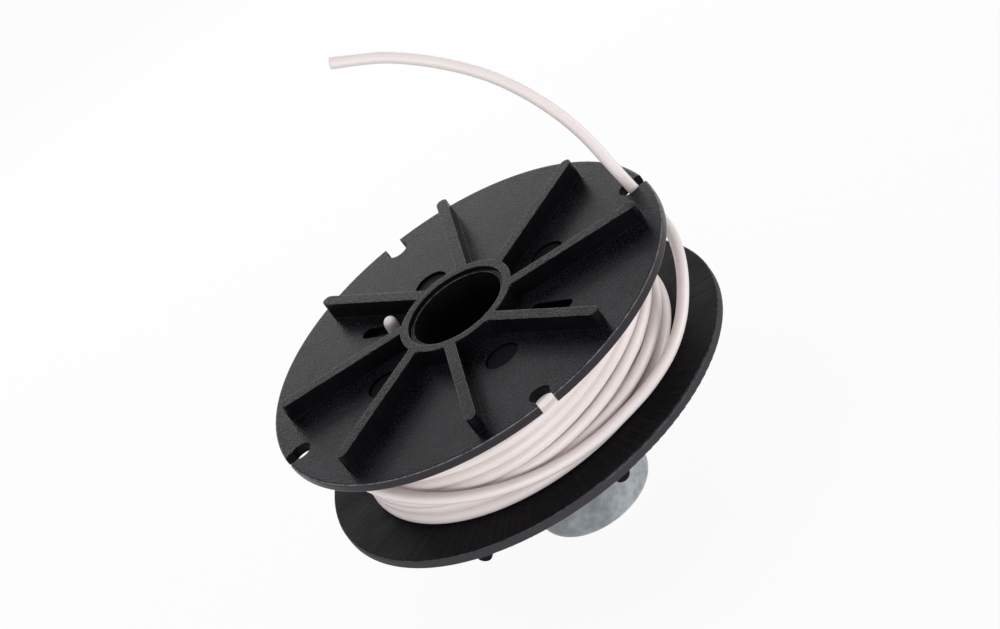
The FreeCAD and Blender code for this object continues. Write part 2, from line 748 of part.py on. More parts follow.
def winding_edges():
    edges = []
    radii = []
    # The start slopes out of the core, straight for one diameter
    lead = math.radians(FIRST_TURN - 22.0)
    outward = Vector(math.cos(lead), math.sin(lead), 0)
    forward = Vector(-math.sin(lead), math.cos(lead), 0)
    slope = math.radians(24.0)
    here = outward * (LAYER - 2.2) + Vector(0, 0, LOW)
    direction = forward * math.cos(slope) + outward * math.sin(slope)
    ahead = here + direction * size("line_diameter")
    edges.append(Part.LineSegment(here, ahead).toShape())
    here = ahead
    # Knots about a quarter turn apart
    knots = []
    climb_start = TOP_TURN - CLIMB
    steps = math.ceil((climb_start - FIRST_TURN) / 90.0)
    for i in range(steps + 1):
        knots.append(FIRST_TURN + (climb_start - FIRST_TURN) * i / steps)
    knots += [TOP_TURN, TOP_TURN + CLIMB / 2.0, TOP_TURN + CLIMB]
    knots += [knots[-1] + (CROSS_END - knots[-1]) * i / 3.0 for i in (1, 2)]
    for turn in knots:
        point = strand_point(turn)
        heading = strand_direction(turn)
        pieces, sizes = biarc(here, direction, point, heading)
        edges += pieces
        radii += sizes
        here = point
        direction = heading
    # The end is straight for one diameter, in line with the free end's first run
    last = unit(FREE_ROUTE[1] - FREE_ROUTE[0])
    point = FREE_ROUTE[0] - last * size("line_diameter")
    pieces, sizes = biarc(here, direction, point, last)
    edges += pieces
    radii += sizes
    edges.append(Part.LineSegment(point, FREE_ROUTE[0]).toShape())
    return edges, radii


edges, radii = winding_edges()
print("line_winding radii: least %.1f mm" % min(radii))
path_points = Part.Wire(edges).discretize(Distance=1.5)
print("line_winding least gap to itself %.2f mm" % least_gap(path_points, 1.5))
add_feature("line_winding", tube(edges, "line_winding"))

edges, radii = route_edges(FREE_ROUTE)
print("line_free_end radii: " + ", ".join("%.1f" % radius for radius in radii))
add_feature("line_free_end", tube(edges, "line_free_end"))

# Inner end: from the core through the drum's notch and up through the slot, with a melted tip
INNER_ROUTE = [(21.3, 37.7), (18.8, 39.6), (17.1, 41.9), (16.2, 44.7)]
slot_angle = math.radians(size("slot_turn"))
inner_points = [Vector(r * math.cos(slot_angle), r * math.sin(slot_angle), z) for r, z in INNER_ROUTE]
edges, radii = route_edges(inner_points)
print("line_inner_end radii: " + ", ".join("%.1f" % radius for radius in radii))
stub = tube(edges, "line_inner_end")
tip = Part.makeSphere(size("tip_radius"), inner_points[-1])
add_feature("line_inner_end", stub.fuse(tip).removeSplitter())

doc.recompute()

NODES = [
    "upper_flange",
    "lower_flange",
    "glide_cap",
    "cap_stud",
    "thrust_washer",
    "push_on_washer",
    "line_core",
    "line_winding",
    "line_free_end",
    "line_inner_end",
]

for item in doc.Objects:
    if "Invalid" in item.State or "Error" in item.State:
        raise RuntimeError("%s is %s" % (item.Name, item.State))

solids = {}
for node in NODES:
    shape = doc.getObjectsByLabel(node)[0].Shape
    if shape.isNull() or not shape.isValid():
        raise RuntimeError(node + " has no valid shape")
    solids[node] = shape

os.makedirs("parts", exist_ok=True)
for node, shape in solids.items():
    shape.exportStep("parts/%s.step" % node)
    box = shape.BoundBox
    print("%-15s %d solid(s), %8.1f mm3, x %.1f..%.1f y %.1f..%.1f z %.1f..%.1f" % (
        node, len(shape.Solids), shape.Volume, box.XMin, box.XMax, box.YMin, box.YMax, box.ZMin, box.ZMax))
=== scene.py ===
# %% [markdown]
# # A grass trimmer's line spool
#
# The object is a replacement spool: two black moulded flanges, a drum between them wound with white
# nylon line, and a zinc plated steel cap underneath that slides over the ground. The CAD model gives
# every hard piece its true shape and size. Here the line is laid strand by strand, each surface gets a
# material of its own, and the whole is lit and looked at as in the photograph.

# %% Load the model
import math

import bmesh
import bpy
from mathutils import Matrix, Vector


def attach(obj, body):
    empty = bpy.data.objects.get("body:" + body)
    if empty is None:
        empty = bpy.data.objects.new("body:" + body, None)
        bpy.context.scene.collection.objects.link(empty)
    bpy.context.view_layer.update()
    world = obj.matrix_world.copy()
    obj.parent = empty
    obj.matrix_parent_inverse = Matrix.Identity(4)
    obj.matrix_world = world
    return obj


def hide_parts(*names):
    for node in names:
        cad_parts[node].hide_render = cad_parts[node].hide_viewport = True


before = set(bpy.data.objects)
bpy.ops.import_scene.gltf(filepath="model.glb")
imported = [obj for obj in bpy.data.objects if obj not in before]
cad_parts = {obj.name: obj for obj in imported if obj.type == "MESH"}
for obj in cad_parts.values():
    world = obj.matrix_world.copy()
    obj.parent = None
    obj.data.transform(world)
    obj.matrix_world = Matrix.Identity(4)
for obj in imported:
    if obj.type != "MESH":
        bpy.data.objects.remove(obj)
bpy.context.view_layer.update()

scene = bpy.context.scene
print("nodes:", sorted(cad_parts))

# %% [markdown]
# ## The camera
#
# The photograph was taken from nearly level with the spool, and then turned so that the spool leans.
# The camera is placed by its three axes, in the spool's own frame: right, up and backwards. A matrix
# of those axes says at once where the camera stands and how it is rolled, which two angles and a tilt
# could only do in several steps. The lens is long, because the rims of the two flanges look almost
# equally large.

# %% Camera
camera_data = bpy.data.cameras.new("camera")
camera_data.sensor_fit = "HORIZONTAL"
camera_data.sensor_width = 36.0
camera_data.lens = 160.85
camera_data.clip_start = 0.05
camera_data.clip_end = 20.0

right = Vector((0.77825, -0.34341, -0.52573)).normalized()
down = Vector((-0.62482, -0.33998, -0.70286))
ahead = right.cross(down).normalized()
down = ahead.cross(right).normalized()
eye = Vector((-0.04058, -0.63596, 0.38783))

pose = Matrix((right, -down, -ahead)).transposed().to_4x4()
pose.translation = eye
camera = bpy.data.objects.new("camera", camera_data)
camera.matrix_world = pose
scene.collection.objects.link(camera)
scene.camera = camera
print("camera is %.3f m from the spool's foot" % eye.length)

# %% [markdown]
# ## The line's path
#
# The line is one piece from end to end. It is hooked into the drum near the upper flange and fills four
# tidy layers. The fifth was wound by hand, so its turns lie together at one side and fan out at the
# other. The last strand crosses over the rest and leaves through a notch in the upper flange. A curve of
# one spline can follow all of this, so the path is a list of points, each with the strand's thickness
# there. The points are in millimetres and degrees, which are easier to read than metres and radians.
#
# A smooth spline passes inside its points. On a turn of n points it runs at cos(180/n) of their radius,
# so the points stand that much further out.

# %% Helpers for the path
path = []


def add_point(radius, angle, height, thickness=1.0):
    a = math.radians(angle)
    path.append((radius * math.cos(a), radius * math.sin(a), height, thickness))


def add_turn_point(radius, angle, height, per_turn):
    add_point(radius / math.cos(math.pi / per_turn), angle, height)


def smooth(q):
    q = min(max(q, 0.0), 1.0)
    return q * q * (3.0 - 2.0 * q)


# %% Inner end, from its melted tip down through the slot, out by the drum's notch and on to the drum
SLOT_ANGLE = 127.5
for radius, past_slot, height, thickness in (
    (15.42, 0.0, 45.76, 0.12),
    (15.42, 0.0, 45.70, 0.45),
    (15.44, 0.0, 45.50, 0.80),
    (15.48, 0.0, 45.12, 1.06),
    (15.54, 0.0, 44.60, 1.17),
    (15.62, 0.0, 43.90, 1.17),
    (15.73, 0.0, 43.10, 1.16),
    (15.91, 0.0, 42.09, 1.05),
    (16.34, 0.0, 40.99, 1.00),
    (17.06, -0.8, 40.05, 1.00),
    (18.00, -1.5, 39.46, 1.00),
    (19.42, -1.5, 38.94, 1.00),
    (20.71, 0.4, 38.22, 1.00),
    (21.60, 4.0, 37.48, 1.00),
    (21.86, 8.9, 36.93, 1.00),
):
    add_point(radius, SLOT_ANGLE + past_slot, height, thickness)
inner_count = len(path)
print("inner end has %d points" % inner_count)

# %% Four tidy layers: a short one up, then down, up and down again
LOW, HIGH = 26.45, 40.20
LAYER_RADII = (21.05, 22.95, 24.85, 26.70)
LAYER_HEIGHTS = (37.0, HIGH, LOW, HIGH, LOW)
INNER_PER_TURN = 20
INNER_PITCH = 2.1034
CHANGE_ANGLE = 50.0
CHANGE_STEPS = 3
LEAD_IN_ANGLE = 40.0
OUTER_START = 20.0

last_layer = len(LAYER_RADII) - 1
sweeps = [360.0 * abs(b - a) / INNER_PITCH for a, b in zip(LAYER_HEIGHTS, LAYER_HEIGHTS[1:])]
turn = OUTER_START - LEAD_IN_ANGLE - sum(sweeps) - last_layer * CHANGE_ANGLE
print("the first layer starts at %.1f degrees" % (turn % 360.0))
for layer, sweep in enumerate(sweeps):
    radius = LAYER_RADII[layer]
    low, high = LAYER_HEIGHTS[layer], LAYER_HEIGHTS[layer + 1]
    steps = round(sweep * INNER_PER_TURN / 360.0)
    for i in range(steps):
        q = i / steps
        add_turn_point(radius, turn + sweep * q, low + (high - low) * q, INNER_PER_TURN)
    turn += sweep
    if layer < last_layer:
        step_out = LAYER_RADII[layer + 1] - radius
        for i in range(CHANGE_STEPS):
            q = i / CHANGE_STEPS
            add_turn_point(radius + step_out * smooth(q), turn + CHANGE_ANGLE * q, high, INNER_PER_TURN)
        turn += CHANGE_ANGLE
layer_count = len(path)
print("four layers have %d points" % (layer_count - inner_count))

# %% [markdown]
# Each turn of the outer layer is flat at one side, climbs a little at the front, where the photograph
# shows the strands fan out, and slopes back down behind to where the next turn begins. Four numbers
# say all this about a turn: its lower and its upper height, the angle at which it starts to climb, and
# the angle that the climb takes. A function of the angle then gives the height anywhere, so the points
# can be as close together as the curve needs.

# %% Height and radius of the outer layer and of the strand that crosses it
OUTER_RADIUS = 28.5
ROWS = (
    (26.45, 28.40, 285.0, 80.0),
    (28.30, 31.40, 270.0, 90.0),
    (30.10, 34.25, 252.0, 98.0),
    (32.00, 36.40, 242.0, 100.0),
    (34.05, 38.35, 245.0, 95.0),
    (36.10, 40.10, 248.0, 95.0),
    (38.15, 40.20, 252.0, 60.0),
)
SLOPE_BACK = 210.0
LAST_TURN = 360.0 * (len(ROWS) - 1)
TOP_REACHED = LAST_TURN + 330.0
CROSS_START = LAST_TURN + 505.0
CROSS_END = LAST_TURN + 637.0
CROSS_ANGLE = 137.0
CROSS_RADIUS = 31.0
CROSS_LOW = 28.15
RIDE_START = LAST_TURN + 278.0
RIDE_ANGLE = 42.0
SUNK_FROM, SUNK_TO, SUNK_EASE, SUNK_DEPTH = 540.0, 660.0, 40.0, 0.5
UNEVEN = 0.06


def outer_height(turn):
    if turn > TOP_REACHED:
        return HIGH - (HIGH - CROSS_LOW) * smooth((turn - CROSS_START) / CROSS_ANGLE)
    row = max(int((turn - SLOPE_BACK) // 360.0), 0)
    low, high, start, width = ROWS[row]
    angle = turn - 360.0 * row
    height = low + (high - low) * smooth((angle - start) / width)
    if angle > 360.0:
        height += (ROWS[row + 1][0] - height) * smooth((angle - 360.0) / SLOPE_BACK)
    return height


def outer_radius(turn):
    # The second row sinks between its neighbours, and the last one rides up over the row below it. Two
    # slow waves that don't fit a turn keep the rows from looking machine wound
    sunk = SUNK_DEPTH * smooth((turn - SUNK_FROM) / SUNK_EASE) * smooth((SUNK_TO - turn) / SUNK_EASE)
    ride = smooth((turn - RIDE_START) / RIDE_ANGLE)
    uneven = UNEVEN * math.sin(math.radians(turn * 0.83)) * math.sin(math.radians(turn * 0.29 + 50.0))
    return OUTER_RADIUS - sunk + uneven * (1.0 - ride) + (CROSS_RADIUS - OUTER_RADIUS) * ride


print("the outer layer has", len(ROWS), "rows")

# %% Points of the outer layer
OUTER_PER_TURN = 30
for radius, further in ((LAYER_RADII[3], 0.0), (LAYER_RADII[3] + 0.5, 14.0), (OUTER_RADIUS - 0.4, 28.0)):
    add_turn_point(radius, turn + further, LOW, INNER_PER_TURN)
steps = round((CROSS_END - OUTER_START) * OUTER_PER_TURN / 360.0)
for i in range(steps + 1):
    turn = OUTER_START + (CROSS_END - OUTER_START) * i / steps
    add_turn_point(outer_radius(turn), turn, outer_height(turn), OUTER_PER_TURN)
print("outer layer has %d points" % (len(path) - layer_count))

# %% [markdown]
# The free end is not a coil, so its points are listed one by one: along the edge of the winding, up to
# the notch, through it and over the ribbed face in one long bow. Points close together at the tip,
# with a changing thickness, give it the blunt end that cutters leave.

# %% Path of the free end
for x, y, z in (
    (9.71, -29.73, 28.11),
    (15.40, -27.83, 28.01),
    (21.41, -24.80, 28.53),
    (26.42, -20.73, 29.83),
    (30.44, -16.12, 32.00),
    (33.37, -11.26, 34.05),
    (35.15, -5.60, 36.00),
    (34.90, -1.65, 39.10),
    (34.25, 2.00, 46.60),
    (33.77, 5.80, 54.20),
    (31.57, 9.60, 61.40),
    (27.97, 13.50, 68.20),
    (22.77, 17.30, 74.00),
    (16.67, 20.80, 79.00),
):
    path.append((x, y, z, 1.0))
for tip_point in (
    (11.57, 23.07, 81.41, 1.00),
    (10.10, 23.72, 82.10, 1.03),
    (9.30, 24.07, 82.48, 1.05),
    (9.00, 24.20, 82.62, 1.02),
    (8.91, 24.24, 82.66, 0.80),
    (8.89, 24.25, 82.67, 0.15),
):
    path.append(tip_point)
print("the whole line has %d points" % len(path))

# %% [markdown]
# A NURBS spline of order 3 turns the points into one smooth strand, and the curve's own bevel gives it
# its round section. A mesh tube would need the same path and more code. The order is set after the
# points are there, because set before, it falls back to straight runs.

# %% The line as one smooth curve, with its diameter in millimetres
LINE = 2.0
MM = 0.001
curve = bpy.data.curves.new("line", "CURVE")
curve.dimensions = "3D"
curve.resolution_u = 6
curve.bevel_depth = LINE / 2.0 * MM
curve.bevel_resolution = 6
curve.use_fill_caps = True
spline = curve.splines.new("NURBS")
spline.points.add(len(path) - 1)
for point, (x, y, z, thickness) in zip(spline.points, path):
    point.co = (x * MM, y * MM, z * MM, 1.0)
    point.radius = thickness
spline.order_u = 3
spline.use_endpoint_u = True
spline.use_smooth = True
line = bpy.data.objects.new("line", curve)
scene.collection.objects.link(line)
print("line:", line.name, "with", len(spline.points), "points")

# %% [markdown]
# ## Effects that several materials share
#
# A moulded or plated surface is never one flat colour. Each effect here is a node group with named
# inputs, made once. It reads a position on the object and gives a mask, a value or a height, and each
# material decides what to do with it. The position comes from Object coordinates, so the pattern stays
# on the piece from every side.

# %% Helpers for node trees
def add_node(tree, kind, **settings):
    node = tree.nodes.new(kind)
    for name, value in settings.items():
        setattr(node, name, value)
    return node


def join(tree, source, target):
    if isinstance(source, (int, float, tuple)):
        target.default_value = source
    else:
        tree.links.new(source, target)


def math_node(tree, operation, *values, clamp=False):
    node = add_node(tree, "ShaderNodeMath", operation=operation, use_clamp=clamp)
    for value, socket in zip(values, node.inputs):
        join(tree, value, socket)
    return node.outputs["Value"]


def vector_node(tree, operation, *values):
    node = add_node(tree, "ShaderNodeVectorMath", operation=operation)
    for value, socket in zip(values, node.inputs):
        join(tree, value, socket)
    return node.outputs["Value" if operation in ("LENGTH", "DOT_PRODUCT") else "Vector"]


def level_part(tree, position):
    return vector_node(tree, "MULTIPLY", position, (1.0, 1.0, 0.0))


def noise(tree, vector, scale, detail, roughness):
    node = add_node(tree, "ShaderNodeTexNoise")
    join(tree, vector, node.inputs["Vector"])
    join(tree, scale, node.inputs["Scale"])
    join(tree, detail, node.inputs["Detail"])
    join(tree, roughness, node.inputs["Roughness"])
    return node.outputs["Fac"]


def remap(tree, value, low, high, new_low=0.0, new_high=1.0):
    node = add_node(tree, "ShaderNodeMapRange", interpolation_type="SMOOTHSTEP")
    join(tree, value, node.inputs["Value"])
    join(tree, low, node.inputs["From Min"])
    join(tree, high, node.inputs["From Max"])
    join(tree, new_low, node.inputs["To Min"])
    join(tree, new_high, node.inputs["To Max"])
    return node.outputs["Result"]


# %% A helper that starts a group
def new_group(name, inputs, outputs):
    tree = bpy.data.node_groups.new(name, "ShaderNodeTree")
    for label, kind, value in inputs:
        socket = tree.interface.new_socket(name=label, in_out="INPUT", socket_type="NodeSocket" + kind)
        if value is not None:
            socket.default_value = value
    for label in outputs:
        tree.interface.new_socket(name=label, in_out="OUTPUT", socket_type="NodeSocketFloat")
    start = add_node(tree, "NodeGroupInput")
    end = add_node(tree, "NodeGroupOutput")
    print("group:", name)
    return tree, start.outputs, end.inputs


# %% [markdown]
# A mould is never perfectly polished, and its fine texture shows on the plastic. A noise as fine as the
# grains gives it. A much broader one makes the surface rise and fall a little, so that the grain doesn't
# look printed. The highest grains come out as a mask of their own, where a painted glint goes.

# %% Grain: the fine texture that the mould leaves
tree, given, result = new_group(
    "mould_grain",
    [("Position", "Vector", None), ("Grains per metre", "Float", 2500.0)],
    ["Height", "Cloud", "Painted glint"],
)
grain_group = tree
fine = noise(tree, given["Position"], given["Grains per metre"], detail=4.0, roughness=0.6)
cloud_scale = math_node(tree, "MULTIPLY", given["Grains per metre"], 0.06)
cloud = noise(tree, given["Position"], cloud_scale, detail=3.0, roughness=0.5)
join(tree, math_node(tree, "MULTIPLY_ADD", cloud, 0.35, fine), result["Height"])
join(tree, cloud, result["Cloud"])
join(tree, remap(tree, fine, 0.56, 0.74), result["Painted glint"])

# %% [markdown]
# Plastic flows from the middle of the mould to the rim and leaves faint marks that run outwards. Turning
# and rubbing leave rings. Both come from where a point lies round the axis: a noise that reads only its
# direction is the same all along a ray, and one that reads only its distance is the same all round.

# %% Streaks: fine marks that run out from the axis, or round it
tree, given, result = new_group(
    "turned_streaks",
    [("Position", "Vector", None), ("Outward", "Float", 30.0), ("Round", "Float", 800.0)],
    ["Radial", "Circular", "Distance"],
)
streak_group = tree
flat = level_part(tree, given["Position"])
distance = vector_node(tree, "LENGTH", flat)
direction = vector_node(tree, "NORMALIZE", flat)
rings = add_node(tree, "ShaderNodeCombineXYZ")
join(tree, distance, rings.inputs["X"])
outward = noise(tree, direction, given["Outward"], detail=5.0, roughness=0.7)
round_about = noise(tree, rings.outputs["Vector"], given["Round"], detail=3.0, roughness=0.6)
join(tree, outward, result["Radial"])
join(tree, round_about, result["Circular"])
join(tree, distance, result["Distance"])

# %% [markdown]
# A moulding's edges are never quite sharp, and they catch the light in thin bright lines, which the
# materials paint on as painted highlights. The group finds the edges in two ways. Where the mesh is
# sharp, a rounded normal from a Bevel node leans away from the true one. Where the moulding's rounding
# is in the mesh, the normal is neither upright nor level. It also tells the level faces, which carry the
# grain, from the upright ones.

# %% Painted edge highlights: masks for the edges of the rim and of the crowns
RIM_FROM = 0.0365
RIM_BAND = (0.0368, 0.03695)
LUG_TOP = 0.0236
CROWN_DEPTH = 0.0005
HALF_RIGHT_ANGLE = 0.7071

tree, given, result = new_group(
    "painted_edge_light",
    [
        ("Position", "Vector", None),
        ("Rounded normal", "Vector", None),
        ("Rim radius", "Float", RIM_FROM),
        ("Crown height", "Float", 0.0463),
    ],
    ["Rim edge", "Crown edge", "Rim", "Level"],
)
edge_group = tree
surface = add_node(tree, "ShaderNodeNewGeometry")
agreement = vector_node(tree, "DOT_PRODUCT", given["Rounded normal"], surface.outputs["Normal"])
leaning = remap(tree, agreement, 0.99, 0.86)
normal_parts = add_node(tree, "ShaderNodeSeparateXYZ")
join(tree, surface.outputs["Normal"], normal_parts.inputs["Vector"])
upright = math_node(tree, "ABSOLUTE", normal_parts.outputs["Z"])
join(tree, remap(tree, upright, 0.80, 0.97), result["Level"])
slanted = remap(tree, math_node(tree, "PINGPONG", upright, HALF_RIGHT_ANGLE), 0.44, 0.60)
near_edge = math_node(tree, "MAXIMUM", leaning, slanted)
# Noise breaks up the painted highlight along the edges
uneven = noise(tree, given["Position"], scale=900.0, detail=6.0, roughness=0.8)
broken = remap(tree, uneven, 0.36, 0.62, 0.2, 1.0)
edge_highlight = math_node(tree, "MULTIPLY", near_edge, broken, clamp=True)

# %% Where the rim and the crown are
place = add_node(tree, "ShaderNodeSeparateXYZ")
join(tree, given["Position"], place.inputs["Vector"])
distance = vector_node(tree, "LENGTH", level_part(tree, given["Position"]))
at_rim = math_node(tree, "GREATER_THAN", distance, given["Rim radius"])
crown_from = math_node(tree, "SUBTRACT", given["Crown height"], CROWN_DEPTH)
at_crown = math_node(tree, "GREATER_THAN", place.outputs["Z"], crown_from)
join(tree, math_node(tree, "MULTIPLY", at_rim, edge_highlight), result["Rim edge"])
join(tree, math_node(tree, "MULTIPLY", at_crown, edge_highlight), result["Crown edge"])
# The rim's upright face is painted paler as painted light, but the lugs under it are not
above_lugs = math_node(tree, "GREATER_THAN", place.outputs["Z"], LUG_TOP)
join(tree, math_node(tree, "MULTIPLY", remap(tree, distance, *RIM_BAND), above_lugs), result["Rim"])
print("the rim starts %.1f mm from the axis" % (RIM_FROM / MM))

# %% [markdown]
# Nothing that has been handled is clean. Dust lies as small specks and as broad faint smears, so two
# noises of very different size make one mask.

# %% Dust and faint smears
tree, given, result = new_group(
    "dust",
    [("Position", "Vector", None), ("Amount", "Float", 0.5)],
    ["Mask"],
)
dust_group = tree
small = noise(tree, given["Position"], scale=1600.0, detail=2.0, roughness=0.5)
broad = noise(tree, given["Position"], scale=60.0, detail=4.0, roughness=0.6)
specks = remap(tree, small, 0.64, 0.76)
smears = remap(tree, broad, 0.45, 0.75)
both = math_node(tree, "MULTIPLY_ADD", specks, 0.5, smears)
join(tree, math_node(tree, "MULTIPLY", both, given["Amount"], clamp=True), result["Mask"])


# %% Helpers for materials
def new_material(name):
    material = bpy.data.materials.new(name)
    material.use_nodes = True
    tree = material.node_tree
    tree.nodes.clear()
    shader = add_node(tree, "ShaderNodeBsdfPrincipled")
    output = add_node(tree, "ShaderNodeOutputMaterial")
    tree.links.new(shader.outputs[0], output.inputs["Surface"])
    coordinates = add_node(tree, "ShaderNodeTexCoord")
    print("material:", name)
    return material, tree, shader.inputs, coordinates.outputs["Object"]


def use_group(tree, group, position, **values):
    node = add_node(tree, "ShaderNodeGroup", node_tree=group)
    join(tree, position, node.inputs["Position"])
    for label, value in values.items():
        join(tree, value, node.inputs[label.replace("_", " ")])
    return node.outputs


def blend_colors(tree, amount, first, second):
    node = add_node(tree, "ShaderNodeMix", data_type="RGBA")
    join(tree, amount, node.inputs["Factor"])
    for value, socket in ((first, node.inputs[6]), (second, node.inputs[7])):
        join(tree, (*value, 1.0) if isinstance(value, tuple) else value, socket)
    return node.outputs[2]


def bump(tree, height, strength, distance, after=None):
    node = add_node(tree, "ShaderNodeBump")
    join(tree, strength, node.inputs["Strength"])
    join(tree, distance, node.inputs["Distance"])
    join(tree, height, node.inputs["Height"])
    if after is not None:
        join(tree, after, node.inputs["Normal"])
    return node.outputs["Normal"]


# %% [markdown]
# ## Moulded black plastic
#
# Both flanges are injection moulded nylon, dyed black. The ribbed face comes from a polished mould half:
# it is glossy enough to mirror the ribs that stand on it, with a fine grain. The lower flange is duller
# and has fine marks that run outwards, where the plastic flowed from the middle to the rim. A Bevel node
# rounds the shading of every edge a little without touching the mesh, and the same rounding finds the
# edges, along which a painted highlight gives the thin bright lines of a real moulding.
#
# The colour is built like coats of paint. Each coat has a mask that says where it lies, and a colour:
# first the dye, then the grain with painted glints on its highest grains, the flow marks, the rim's
# paler painted light, the dust and last the painted highlights along the edges.

# %% Colour of black plastic
DYE_DARK, DYE_PALE = (0.0020, 0.0026, 0.0032), (0.0052, 0.0048, 0.0060)
DYE_RAISED = (0.0070, 0.0068, 0.0078)
GRAIN = (0.0210, 0.0165, 0.0245)
# Colour of the painted glint on the highest grains
PAINTED_GLINT = (0.085, 0.080, 0.090)
FLOW_MARK = (0.012, 0.012, 0.014)
DUST = (0.060, 0.058, 0.060)
# Colour of the painted highlight along the edges
EDGE_HIGHLIGHT = (0.300, 0.290, 0.300)


def plastic_color(tree, grain, edges, dust, flow_amount, grain_depth, rim_shade, rim_wear, crown_wear):
    def scaled(mask, weight):
        return math_node(tree, "MULTIPLY", mask, weight)

    # The level faces carry the mould's grain. The upright ones slid out of the mould and are smooth
    level = scaled(edges["Level"], grain_depth)
    # Masks for the painted highlights along the edges of the rim and the crowns
    crown_edge_highlight = scaled(edges["Crown edge"], crown_wear)
    edge_highlight = math_node(tree, "MULTIPLY_ADD", edges["Rim edge"], rim_wear, crown_edge_highlight, clamp=True)
    color = blend_colors(tree, grain["Cloud"], DYE_DARK, DYE_PALE)
    for mask, coat in (
        (remap(tree, grain["Height"], 0.60, 0.90), DYE_RAISED),
        (scaled(level, remap(tree, grain["Height"], 0.58, 0.84)), GRAIN),
        # The highest grains on the level faces get a painted glint
        (scaled(scaled(level, grain["Painted glint"]), 0.6), PAINTED_GLINT),
        (flow_amount, FLOW_MARK),
        # The rim's face is painted paler, as painted light
        (edges["Rim"], (rim_shade, 0.94 * rim_shade, 1.05 * rim_shade)),
        (scaled(dust["Mask"], 0.08), DUST),
        # Last, the painted highlight along the edges
        (edge_highlight, EDGE_HIGHLIGHT),
    ):
        color = blend_colors(tree, mask, color, coat)
    return color


# %% Black plastic
EDGE_ROUNDING = 0.00022
BORE_EDGE = (0.0180, 0.0210)


def black_plastic(name, crown_height, flow, smoothest, dullest, specular, **looks):
    material, tree, shader, position = new_material(name)
    bevel = add_node(tree, "ShaderNodeBevel", samples=4)
    join(tree, EDGE_ROUNDING, bevel.inputs["Radius"])
    rounded = bevel.outputs["Normal"]
    grain = use_group(tree, grain_group, position, Grains_per_metre=2600.0)
    streaks = use_group(tree, streak_group, position, Outward=60.0)
    edges = use_group(tree, edge_group, position, Rounded_normal=rounded, Crown_height=crown_height)
    dust = use_group(tree, dust_group, position, Amount=0.5)

    outside_bore = remap(tree, streaks["Distance"], *BORE_EDGE)
    flow_mask = math_node(tree, "MULTIPLY", remap(tree, streaks["Radial"], 0.42, 0.68), outside_bore)
    flow_amount = math_node(tree, "MULTIPLY", flow_mask, flow)
    join(tree, plastic_color(tree, grain, edges, dust, flow_amount, **looks), shader["Base Color"])

    satin = remap(tree, grain["Cloud"], 0.3, 0.7, smoothest, dullest)
    join(tree, math_node(tree, "MULTIPLY_ADD", flow_mask, -0.06 * flow, satin), shader["Roughness"])
    shader["Specular IOR Level"].default_value = specular
    shader["Specular Tint"].default_value = (0.98, 0.87, 1.0, 1.0)
    shader["IOR"].default_value = 1.50

    flow_height = math_node(tree, "MULTIPLY", streaks["Radial"], outside_bore)
    normal = bump(tree, grain["Height"], strength=0.75, distance=0.00008, after=rounded)
    normal = bump(tree, flow_height, strength=0.22 * flow + 0.01, distance=0.00005, after=normal)
    join(tree, normal, shader["Normal"])
    return material


# Each flange sets how pale its rim is painted as painted light, and how strong its painted edge
# highlights are
upper_plastic = black_plastic(
    "black_plastic_upper", crown_height=0.0463, flow=0.12, smoothest=0.17, dullest=0.24, specular=0.055,
    grain_depth=0.65, rim_shade=0.034, rim_wear=0.65, crown_wear=0.65,
)
lower_plastic = black_plastic(
    "black_plastic_lower", crown_height=0.0457, flow=0.75, smoothest=0.48, dullest=0.60, specular=0.036,
    grain_depth=0.15, rim_shade=0.050, rim_wear=0.22, crown_wear=1.0,
)

# %% [markdown]
# ## Zinc plate
#
# The glide cap is drawn from sheet steel and zinc plated. Plating is dull and mottled: patches of
# crystals reflect a little differently. A cell texture gives the patches, noise breaks up their edges,
# and a fine circular scratch pattern shows that the cap turns against the ground. The plating is partly
# a metal and partly a dull powder, so its metallic value is low.

# %% Zinc plated steel
ZINC_DARK, ZINC_PALE = (0.250, 0.273, 0.290), (0.430, 0.455, 0.478)
# Colour of the broad patches of painted shade
ZINC_PAINTED_SHADE = (0.120, 0.135, 0.145)
CELLS_PER_METRE = 900.0
CELL_SHIFT = 0.0012

zinc, tree, shader, position = new_material("zinc_steel_mottled")
shift = add_node(tree, "ShaderNodeTexNoise")
join(tree, CELLS_PER_METRE, shift.inputs["Scale"])
join(tree, position, shift.inputs["Vector"])
shifted = vector_node(tree, "MULTIPLY_ADD", shift.outputs["Color"], (CELL_SHIFT,) * 3, position)
cells = add_node(tree, "ShaderNodeTexVoronoi", feature="SMOOTH_F1")
join(tree, CELLS_PER_METRE, cells.inputs["Scale"])
join(tree, 1.0, cells.inputs["Smoothness"])
join(tree, shifted, cells.inputs["Vector"])
patches = remap(tree, cells.outputs["Distance"], 0.0, 0.9)
cloud = noise(tree, position, scale=380.0, detail=8.0, roughness=0.8)
mottle = math_node(tree, "MULTIPLY_ADD", patches, 0.30, math_node(tree, "MULTIPLY", cloud, 0.70))

# %% Colour, gloss and relief of the zinc
color = blend_colors(tree, remap(tree, mottle, 0.25, 0.75), ZINC_DARK, ZINC_PALE)
# Broad patches of painted shade darken the plating
painted_shade = remap(tree, noise(tree, position, scale=75.0, detail=2.0, roughness=0.5), 0.62, 0.40)
color = blend_colors(tree, math_node(tree, "MULTIPLY", painted_shade, 0.65), color, ZINC_PAINTED_SHADE)
join(tree, color, shader["Base Color"])
shader["Metallic"].default_value = 0.30
shader["Specular IOR Level"].default_value = 0.20
join(tree, remap(tree, mottle, 0.25, 0.75, 0.44, 0.32), shader["Roughness"])
scratches = use_group(tree, streak_group, position, Round=2200.0)["Circular"]
normal = bump(tree, mottle, strength=0.25, distance=0.00006)
normal = bump(tree, scratches, strength=0.08, distance=0.00003, after=normal)
join(tree, normal, shader["Normal"])
print(zinc.name, "has", len(tree.nodes), "nodes")

